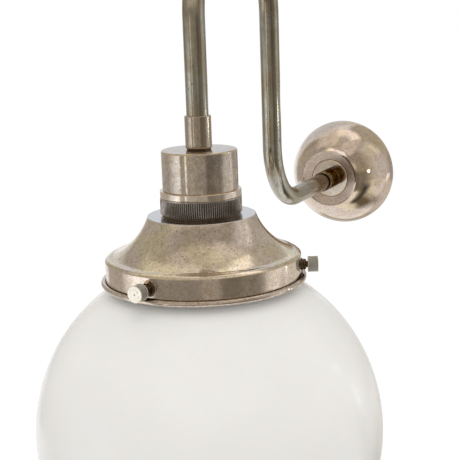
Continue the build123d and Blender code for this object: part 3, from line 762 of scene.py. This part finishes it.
def make_arm():
    """Bent tube, whose own coordinates run across it and along it."""
    points, tube_r = arm_route()
    count = 72
    last = len(points) - 1
    vertices, faces, flow = [], [], []
    for radius in (tube_r, tube_r - TUBE_SHEET):
        along = 0.0
        for index, (y, z) in enumerate(points):
            before = points[max(index - 1, 0)]
            after = points[min(index + 1, last)]
            heading = Vector((after[0] - before[0], after[1] - before[1])).normalized()
            along += hypot(y - before[0], z - before[1])
            for turn in range(count):
                angle = 2 * pi * turn / count
                side = radius * cos(angle)
                vertices.append((radius * sin(angle), y - heading.y * side, z + heading.x * side))
                flow.append((radius * sin(angle), side, along))
    inside = len(points) * count
    for turn in range(count):
        after = (turn + 1) % count
        for start, sense in ((0, 1), (inside, -1)):
            for here in range(start, start + last * count, count):
                quad = (here + turn, here + after, here + count + after, here + count + turn)
                faces.append(quad[::sense])
        for here, sense in ((0, 1), (last * count, -1)):
            quad = (here + turn, inside + here + turn, inside + here + after, here + after)
            faces.append(quad[::sense])
    clean = [0.0] * len(vertices)
    dress(mesh_piece("arm_tube_bent", vertices, faces, TUBE_PLATE, clean, clean, flow), "arm_tube")


# ---------- lampholder outside
def make_front_coupler():
    radius, low, high = span("front_coupler")
    high += FRONT_COUPLER_EXTRA
    floor = high - SOCKET_DEPTH
    corners = [
        (NIPPLE_R, low, SOFT_EDGE), (radius, low, 0.35 * MM), (radius, high, FULL_EDGE),
        (SOCKET_R, high, FINE_EDGE), (SOCKET_R, floor), (NIPPLE_R, floor),
    ]
    dress(lathe("front_coupler_sleeve", corners, SLEEVE_PLATE, LAMP, 128), "front_coupler")


def make_cap():
    radius, low, high = span("lampholder_cap")
    inner, under = radius - SHEET, high - SHEET
    corners = [
        (inner, low, 0.15 * MM), (radius, low, 0.25 * MM), (radius, high, CAP_EDGE),
        (NIPPLE_R, high, HAIR_EDGE), (NIPPLE_R, under), (inner, under, SOFT_EDGE),
    ]
    dress(lathe("lampholder_cap_shell", corners, CAP_PLATE, LAMP, 256), "lampholder_cap")


def make_knurled_ring():
    radius, low, high = span("knurled_ring")
    ribs = round(2 * pi * radius / RIB_PITCH)

    def rib(angle, z):
        fade = min(1.0, max(0.0, (high - z - RIB_PLAIN) / RIB_FADE))
        return fade * (0.5 - 0.5 * cos(ribs * angle)) ** RIB_POWER

    corners = [
        (THREAD_R, low), (radius, low, 0.15 * MM),
        (radius, high - RIB_TOP), (radius, high - RIB_PLAIN),
        (radius, high, 0.25 * MM), (THREAD_R, high),
    ]
    carve = (RIB_DEPTH, radius - SKIN, rib)
    piece = lathe("knurled_ring_ribs", corners, KNURL, LAMP, ribs * TOOTH_STEPS, carve)
    dress(piece, "knurled_ring")


# ---------- gallery
def make_gallery():
    lip_r, _, top = span("gallery")
    flare_r = BAND_R - SHOULDER_W
    flare_top = (GALLERY_TOP_R, top, 0.35 * MM)
    flare_end = (flare_r, top - FLARE_DROP)
    crease = (BAND_R, top - FLARE_DROP - SHOULDER_H, 0.45 * MM)
    band_low = crease[1] - BAND_H
    groove_low = band_low - GROOVE_H
    groove_r = BAND_R - GROOVE_DEPTH
    bead_centre = (lip_r - LIP_BEAD_R, groove_low - LIP_WEB_H / 2)
    bead_start = pi - asin(LIP_WEB_H / 2 / LIP_BEAD_R)
    inner_crease = (BAND_R - SHEET, crease[1] - SHEET, SOFT_EDGE)
    inner_end = (flare_r - SHEET / 2, flare_end[1] - SHEET)
    inner_top = (GALLERY_TOP_R - SHEET / 2, top - SHEET, SOFT_EDGE)
    corners = [
        (GALLERY_HOLE_R, top, HAIR_EDGE),
        flare_top, *bow(flare_top, flare_end, -FLARE_HOLLOW),
        flare_end, *bow(flare_end, crease, SHOULDER_BULGE), crease,
        (BAND_R, band_low, SOFT_EDGE),
        (groove_r, band_low, HAIR_EDGE), (groove_r, groove_low, HAIR_EDGE),
        *arc(bead_centre, LIP_BEAD_R, bead_start, -bead_start, LIP_BEAD_STEPS),
        (groove_r - SHEET, groove_low - LIP_WEB_H), (groove_r - SHEET, band_low + SHEET),
        (BAND_R - SHEET, band_low + SHEET), inner_crease,
        *bow(inner_crease, inner_end, -SHOULDER_BULGE), inner_end,
        *bow(inner_end, inner_top, FLARE_HOLLOW), inner_top, (GALLERY_HOLE_R, top - SHEET),
    ]
    dress(lathe("gallery_spun", corners, FLARE_PLATE, LAMP, 320), "gallery", "gallery_body")


# ---------- thumbscrews
HEAD_LOW, HEAD_HIGH = (corner[2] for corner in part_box("thumbscrew_head_1"))
HEAD_R = (HEAD_HIGH - HEAD_LOW) / 2
SCREW_Z = (HEAD_LOW + HEAD_HIGH) / 2


def screw_place(index):
    """Frame of a thumbscrew: local Z points away from the lamp's axis."""
    around = Matrix.Rotation(FIRST_SCREW + index * 2 * pi / SCREW_COUNT, 4, "Z")
    return LAMP @ Matrix.Translation((0, 0, SCREW_Z)) @ around @ Matrix.Rotation(pi / 2, 4, "Y")


def make_boss(index):
    """Soldered boss: a thin flange on the band and a rounded nut in front of it."""
    start = BAND_R - BOSS_SUNK
    flange = BAND_R + BOSS_FLANGE_H
    corners = [
        (BOSS_BORE_R, start), (BOSS_FLANGE_R, start), (BOSS_FLANGE_R, flange, FINE_EDGE),
        (BOSS_FOOT_R, flange + 0.02 * MM, HAIR_EDGE),
        (BOSS_NUT_R, flange + BOSS_ROUNDING, SOFT_EDGE),
        (BOSS_NUT_R, BOSS_END - BOSS_ROUNDING, FULL_EDGE),
        (BOSS_FRONT_R, BOSS_END, FINE_EDGE), (BOSS_BORE_R, BOSS_END),
    ]
    piece = lathe(f"screw_boss_{index + 1}", corners, BOSS_PLATE, screw_place(index), 72)
    dress(piece, "screw_bosses", "gallery_body")


def make_screw(index):
    """Threaded shank, and the knurled head round its neck."""
    number = index + 1
    place = screw_place(index)
    neck = [(NECK_R, HEAD_BACK), (NECK_R, HEAD_BACK + NECK_L), (PIN_R, HEAD_BACK + NECK_L)]
    corners = [
        (PIN_R, SHANK_TIP), (SHANK_R - SHANK_POINT, SHANK_TIP, FINE_EDGE),
        *thread_corners(SCREW_THREAD, SHANK_R, SHANK_TIP + SHANK_POINT, HEAD_BACK), *neck,
    ]
    carve = thread(SCREW_THREAD, SHANK_R)
    shank = lathe(f"thumbscrew_{number}_thread", corners, SCREW_STEEL, place, 48, carve)
    dress(shank, f"thumbscrew_shank_{number}", f"screw_{number}_shank")

    front = HEAD_BACK + HEAD_L
    side = HEAD_L - 2 * HEAD_EDGE

    def knurl(angle, z):
        if not HEAD_BACK + HEAD_EDGE < z < front - HEAD_EDGE:
            return 0.0
        climb = 2 * pi * (z - HEAD_BACK) / HEAD_CLIMB
        around = HEAD_TEETH * angle
        return sqrt(0.5 - 0.25 * (cos(around + climb) + cos(around - climb)))

    corners = [(NECK_R, HEAD_BACK), (HEAD_R, HEAD_BACK, HEAD_EDGE)]
    for step in range(1, HEAD_STEPS):
        corners.append((HEAD_R, HEAD_BACK + HEAD_EDGE + side * step / HEAD_STEPS))
    corners += [(HEAD_R, front, HEAD_EDGE), (DIMPLE_R, front, 0.12 * MM)]
    corners += [(PIN_R, front - DIMPLE_DEPTH), *neck[:0:-1]]
    carve = (HEAD_CUT, HEAD_R - SKIN, knurl)
    name = f"thumbscrew_{number}_knurled_head"
    head = lathe(name, corners, NICKEL, place, HEAD_TEETH * TOOTH_STEPS, carve)
    dress(head, f"thumbscrew_head_{number}", f"screw_{number}_head")


# ---------- glass
def make_globe():
    radius, low, high = span("globe")
    centre = (0, low + radius)
    inner = radius - GLASS
    bore = GLOBE_NECK_R - GLASS
    meet = asin(GLOBE_NECK_R / radius)
    inner_meet = asin(bore / inner)
    lip_low = high - GLOBE_LIP_H
    corners = [
        (PIN_R, low), *arc(centre, radius, -pi / 2, pi / 2 - meet, GLOBE_STEPS)[1:-1],
        (GLOBE_NECK_R, centre[1] + radius * cos(meet), GLASS_EDGE),
        (GLOBE_NECK_R, lip_low, 0.6 * MM), (GLOBE_LIP_R, lip_low, GLASS_EDGE),
        (GLOBE_LIP_R, high, GLASS_EDGE), (bore, high, 1.0 * MM),
        (bore, centre[1] + inner * cos(inner_meet), GLASS_EDGE),
        *arc(centre, inner, pi / 2 - inner_meet, -pi / 2, GLOBE_STEPS)[1:-1], (PIN_R, low + GLASS),
    ]
    piece = lathe("globe_opal", corners, OPAL, LAMP, 256)
    dress(piece, "globe", "gallery_body")


# ---------- hidden parts
def make_holder_sleeve():
    """Sleeve whose outside thread carries the rings and the gallery."""
    flange_r, low, high = span("holder_body")
    flange_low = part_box("lampholder_cap")[0][2]
    flange_high = flange_low + HOLDER_FLANGE
    corners = [
        (HOLDER_BORE_R, low, SOFT_EDGE), *thread_corners(HOLDER_THREAD, HOLDER_R, low, flange_low),
        (flange_r, flange_low, FINE_EDGE), (flange_r, flange_high, FINE_EDGE),
        (HOLDER_R, flange_high), (HOLDER_R, high, SOFT_EDGE), (HOLDER_BORE_R, high, SOFT_EDGE),
    ]
    carve = thread(HOLDER_THREAD, HOLDER_R, lambda z: z < flange_low - 0.2 * MM)
    piece = lathe("holder_sleeve_threaded", corners, BRASS, LAMP, 160, carve)
    dress(piece, "holder_body")


def make_rolled_shell(node, body, material):
    """Screw shell of the holder or cap of the bulb, rolled from thin sheet."""
    radius, low, high = span(node)
    inner, rolled, under = radius - ROLLED_SHEET, high - ROLLED_TOP, high - ROLLED_SHEET
    corners = [
        *thread_corners(LAMP_THREAD, radius, low, rolled), (radius, high, 0.6 * MM),
        (ROLLED_HOLE_R, high), (ROLLED_HOLE_R, under), (inner, under, FULL_EDGE),
        *thread_corners(LAMP_THREAD, inner, low, rolled)[::-1],
    ]
    carve = thread(LAMP_THREAD, inner, lambda z: z <= rolled)
    dress(lathe(f"{node}_rolled", corners, material, LAMP, 128, carve), node, body)


def make_nipple(node, place):
    radius, low, high = span(node, place)
    corners = [
        (NIPPLE_BORE_R, low, 0.15 * MM), (radius - NIPPLE_END, low),
        *thread_corners(NIPPLE_THREAD, radius, low + NIPPLE_END, high - NIPPLE_END),
        (radius - NIPPLE_END, high), (NIPPLE_BORE_R, high, 0.15 * MM),
    ]
    carve = thread(NIPPLE_THREAD, radius)
    piece = lathe(f"{node}_threaded", corners, BRASS, place, 64, carve)
    dress(piece, node)


def paint_hidden_nodes():
    """The CAD nodes that keep their own shape get the matching finish."""
    finishes = {
        ZINC: ("wall_bracket", "earth_screw", "terminal_screws"),
        PLASTIC: ("terminal_block",),
        BRASS: ("wall_nuts", "cap_nut", "centre_contact", "core_screws", "lock_ring"),
        SHEATH: ("inner_lead",),
        CERAMIC: ("holder_core",),
        BULB: ("bulb_glass",),
        BULB_METAL: ("bulb_tip",),
    }
    for material, names in finishes.items():
        for name in names:
            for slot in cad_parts[name].material_slots:
                slot.material = material


make_rose()
make_ring("rose_collar_disc", "rose_collar", NIPPLE_R, 0.5 * MM, RING_PLATE, 192, WALL)
make_wall_coupler()
make_arm()
make_front_coupler()
make_ring("seat_washer_ring", "seat_washer", NIPPLE_R, FINE_EDGE, SHADOW, 96)
make_cap()
make_ring("rim_ring_turned", "rim_ring", THREAD_R, 0.45 * MM, RING_PLATE, 256)
make_knurled_ring()
make_ring("shadow_ring_turned", "shadow_ring", THREAD_R, FINE_EDGE, SHADOW, 192)
make_gallery()
for screw in range(SCREW_COUNT):
    make_boss(screw)
for screw in range(SCREW_COUNT):
    make_screw(screw)
make_globe()
make_holder_sleeve()
make_rolled_shell("screw_shell", "wall_arm", BRASS)
make_rolled_shell("bulb_cap", "bulb_body", BULB_METAL)
make_nipple("wall_nipple", WALL)
make_nipple("holder_nipple", LAMP)
paint_hidden_nodes()


# ---------- studio
FLOOR_DROP = 800 * MM             # globe's bottom to the floor
FLOOR_R = 6.0
FLOOR_SIDES = 96
FLOOR_GREY = 0.56
FLOOR_GLOW = 1.2                  # what the camera sees of the floor instead of its own grey
KEEP_SHADOW = 0.2                 # share of the grey floor, with its shadow, that the camera sees
HORIZON = 1.42                    # level of the light from all round, at eye height
OVERHEAD = 0.80                   # and from above and below
LIGHT_FADE = (0.1, 0.5)           # heights on the unit sphere between which it changes
KEY_POWER = 2.3
KEY_SIZE = 1.2
KEY_PLACE = (0.2, LAMP_Y - 0.5, 1.3)
CARD_R = 1.6                      # distance of the cards that the metal reflects
CARD_STEP = 0.01                  # each card stands this much in front of the one made before it
CARD_GRID = 1.0                   # degrees
BLUE_LOSS = 1.4                   # what a card's warmth takes from blue, for 1 that red gains


def white_seen(nodes):
    """1 for camera, glossy and transmission rays, which see the white background."""
    path = nodes.add("ShaderNodeLightPath")
    total = path.outputs["Is Camera Ray"]
    for name in ("Is Glossy Ray", "Is Transmission Ray"):
        total = nodes.maths("MAXIMUM", total, path.outputs[name])
    return total


def make_world():
    """White for what is seen, and for the light a level that is highest at the horizon."""
    world = bpy.data.worlds.new("studio")
    bpy.context.scene.world = world
    world.use_nodes = True
    nodes = Nodes(world.node_tree)
    height = nodes.add("ShaderNodeSeparateXYZ")
    nodes.join(nodes.add("ShaderNodeTexCoord").outputs["Generated"], height.inputs["Vector"])
    steep = nodes.maths("ABSOLUTE", height.outputs["Z"])
    light = nodes.tree.nodes["Background"]
    light.inputs["Color"].default_value = WHITE
    nodes.join(nodes.remap(steep, *LIGHT_FADE, HORIZON, OVERHEAD), light.inputs["Strength"])
    white = nodes.shading("ShaderNodeBackground", Color=WHITE, Strength=1)
    mixed = nodes.mix_shaders(white_seen(nodes), light.outputs[0], white)
    nodes.join(mixed, nodes.tree.nodes["World Output"].inputs["Surface"])


def bare_material(name):
    """Material with nothing but its output, its nodes and the input that its surface goes into."""
    material = bpy.data.materials.new(name)
    material.use_nodes = True
    nodes = Nodes(material.node_tree)
    nodes.tree.nodes.remove(nodes.tree.nodes["Principled BSDF"])
    return material, nodes, nodes.tree.nodes["Material Output"].inputs["Surface"]


def stage_piece(name, vertices, faces, material):
    """Plain mesh object for the studio, such as the floor or a card."""
    piece = mesh_object(name, vertices, faces, material)
    return piece


def make_floor():
    material, nodes, surface = bare_material("floor")
    matt = nodes.shading("ShaderNodeBsdfDiffuse", Color=(FLOOR_GREY, FLOOR_GREY, FLOOR_GREY, 1))
    glow = nodes.shading("ShaderNodeEmission", Strength=FLOOR_GLOW)
    part = nodes.maths("MULTIPLY", white_seen(nodes), 1 - KEEP_SHADOW)
    nodes.join(nodes.mix_shaders(part, matt, glow), surface)
    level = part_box("globe")[0][2] - FLOOR_DROP
    angles = [2 * pi * side / FLOOR_SIDES for side in range(FLOOR_SIDES)]
    rim = [(FLOOR_R * cos(angle), FLOOR_R * sin(angle), level) for angle in angles]
    stage_piece("floor", rim, [tuple(range(FLOOR_SIDES))], material)


def make_card(number, name, turns, tilts, shade, soft, around=(0, LAMP_Y, 0), radius=CARD_R):
    """Curved studio card that only reflections see, from a range of turns and tilts in degrees.

    A turn is measured from the camera's side, to the right, and a tilt above the horizon. shade is
    the card's level and how much browner than grey it is, and soft is over how many degrees it
    fades at its first turn, last turn, foot and top, 0 for a hard end.
    """
    material, nodes, surface = bare_material(name)
    level, warmth = shade
    colour = (level * (1 + warmth), level, level * (1 - BLUE_LOSS * warmth), 1)
    glow = nodes.shading("ShaderNodeEmission", Color=colour)
    clear = nodes.shading("ShaderNodeBsdfTransparent")
    nodes.join(nodes.mix_shaders(nodes.attribute("cover"), clear, glow), surface)
    columns = ceil((turns[1] - turns[0]) / CARD_GRID)
    rows = ceil((tilts[1] - tilts[0]) / CARD_GRID)
    distance = radius - CARD_STEP * number
    vertices, faces, covers = [], [], []
    for row in range(rows + 1):
        tilt = tilts[0] + (tilts[1] - tilts[0]) * row / rows
        for column in range(columns + 1):
            turn = turns[0] + (turns[1] - turns[0]) * column / columns
            flat = CAMERA_RIGHT * sin(radians(turn)) + CAMERA_SIDE * cos(radians(turn))
            out = flat * cos(radians(tilt)) + Vector((0, 0, sin(radians(tilt))))
            vertices.append(Vector(around) + out * distance)
            reach = (turn - turns[0], turns[1] - turn, tilt - tilts[0], tilts[1] - tilt)
            covers.append(min(1.0, *(inside / fade for inside, fade in zip(reach, soft) if fade)))
    for row in range(rows):
        for column in range(columns):
            here = row * (columns + 1) + column
            faces.append((here, here + 1, here + columns + 2, here + columns + 1))
    card = stage_piece(name, vertices, faces, material)
    card.data.attributes.new("cover", "FLOAT", "POINT").data.foreach_set("value", covers)
    card.visible_camera = False
    card.visible_diffuse = False
    card.visible_shadow = False


def make_cards():
    """A warm grey room with soft white boxes left, right and overhead, open to the white behind.

    Most cards stand far from the lamp. The last ones stand near, and are turned about a place in
    front of the rose, or about the globe for the spark on the glass.
    """
    belt = (-38, 9)
    low = (-42, -12)
    rose = (0.01, -0.035, 0.02)
    globe = (0, LAMP_Y, -0.1)
    cards = (
        ("room", (-160, 158), (-38, 90), (0.36, 0.10), (12, 8, 4, 4)),
        ("room_low", (-180, 180), (-90, -27), (0.50, 0.12), (0, 0, 0, 4)),
        ("room_low_right", (2, 168), (-90, -46), (0.12, 0.12), (30, 14, 0, 14)),
        ("room_side_left", (-163, -98), belt, (0.47, 0.06), (14, 7, 4, 4)),
        ("room_left", (-64, -6), belt, (0.45, 0.08), (4, 18, 4, 4)),
        ("room_dark", (17, 78), belt, (0.235, 0.10), (4, 6, 4, 4)),
        ("room_side_right", (106, 160), belt, (0.45, 0.06), (5, 8, 4, 4)),
        ("ceiling_left", (-150, -42), (6, 58), (0.46, 0.06), (8, 34, 6, 10)),
        ("ceiling_right", (106, 164), (6, 56), (0.50, 0.06), (5, 10, 4, 8)),
        ("room_darkest", (21, 44), belt, (0.19, 0.10), (3, 3, 4, 4)),
        ("room_low_left", (-64, 2), low, (0.26, 0.08), (3, 8, 4, 2)),
        ("box_left", (-106, -57), (-38, 6), (1.24, -0.02), (36, 4, 10, 10)),
        ("box_strip", (-44, -37), (-12, 9), (1.2, 0.04), (2, 2, 1, 4)),
        ("box_right", (64, 114), (-38, 56), (0.70, 0.03), (24, 5, 4, 10)),
        ("glow_front", (-74, 46), (12, 34), (0.64, 0.08), (12, 14, 5, 9)),
        ("behind", (156, 208), (3, 44), (0.74, -0.03), (6, 14, 4, 6)),
        ("edge_right", (158, 182), (-30, -5), (0.55, 0), (4, 4, 4, 3)),
        ("ceiling_top", (-180, 180), (54, 90), (0.57, 0.09), (0, 0, 10, 0)),
        ("ceiling_back", (-184, -116), (38, 84), (0.80, 0.08), (0.1, 18, 14, 6)),
        ("box_left_low", (-106, -62), low, (1.40, -0.02), (22, 3, 14, 2)),
        ("box_right_low", (74, 114), low, (0.94, 0.03), (8, 5, 6, 2)),
        ("side_right_low", (108, 152), low, (0.72, 0.06), (5, 6, 6, 2)),
        ("open_left", (-170, -140), (-28, -12), (1.0, 0), (5, 5, 3, 2)),
        ("open_low_left", (-176, -108), (-60, -19), (1.05, 0), (4, 22, 10, 3)),
        ("slit_right", (99, 108), (18, 44), (0.95, 0.04), (3, 3, 4, 6)),
        ("ceiling_top_right", (24, 118), (50, 86), (0.74, 0.08), (14, 10, 8, 6)),
        ("box_top", (112, 184), (50, 72), (1.25, 0.06), (6, 10, 6, 8)),
        ("spark_far", (109, 114), (-16, -5.5), (1.6, 0), (1.5, 1.5, 4, 1.5)),
        ("arm_box", (-88, 14), (34, 64), (1.35, 0.06), (24, 12, 8, 8), rose, 0.35),
        ("stand_low", (40, 128), (-74, -36), (0.15, 0.2), (26, 30, 10, 16), rose, 0.65),
        ("stand", (50, 74), (-76, -20), (0.07, 0.1), (10, 10, 10, 10), rose, 0.65),
        ("spark_globe", (105.4, 109.8), (-4, 9), (8, 0), (1.5, 1.5, 3, 3), globe, 0.83),
        ("rose_shield", (73, 94), (-29, -5), (0.72, 0.03), (3, 3, 3, 3), rose, 0.66),
        ("spark_near", (61.6, 65.4), (-1, 4), (14, 0), (1, 1, 1, 1), rose, 0.65),
    )
    for number, card in enumerate(cards, 1):
        make_card(number, *card)


def make_key_light():
    data = bpy.data.lights.new("key", "AREA")
    data.shape = "DISK"
    data.size = KEY_SIZE
    data.energy = KEY_POWER
    lamp = linked("key", data)
    place = Vector(KEY_PLACE)
    lamp.location = place
    lamp.rotation_mode = "QUATERNION"
    lamp.rotation_quaternion = (Vector((0, LAMP_Y, 0)) - place).to_track_quat("-Z", "Y")
    lamp.visible_glossy = False


make_world()
make_floor()
make_cards()
make_key_light()
bpy.context.scene.view_settings.view_transform = "Standard"
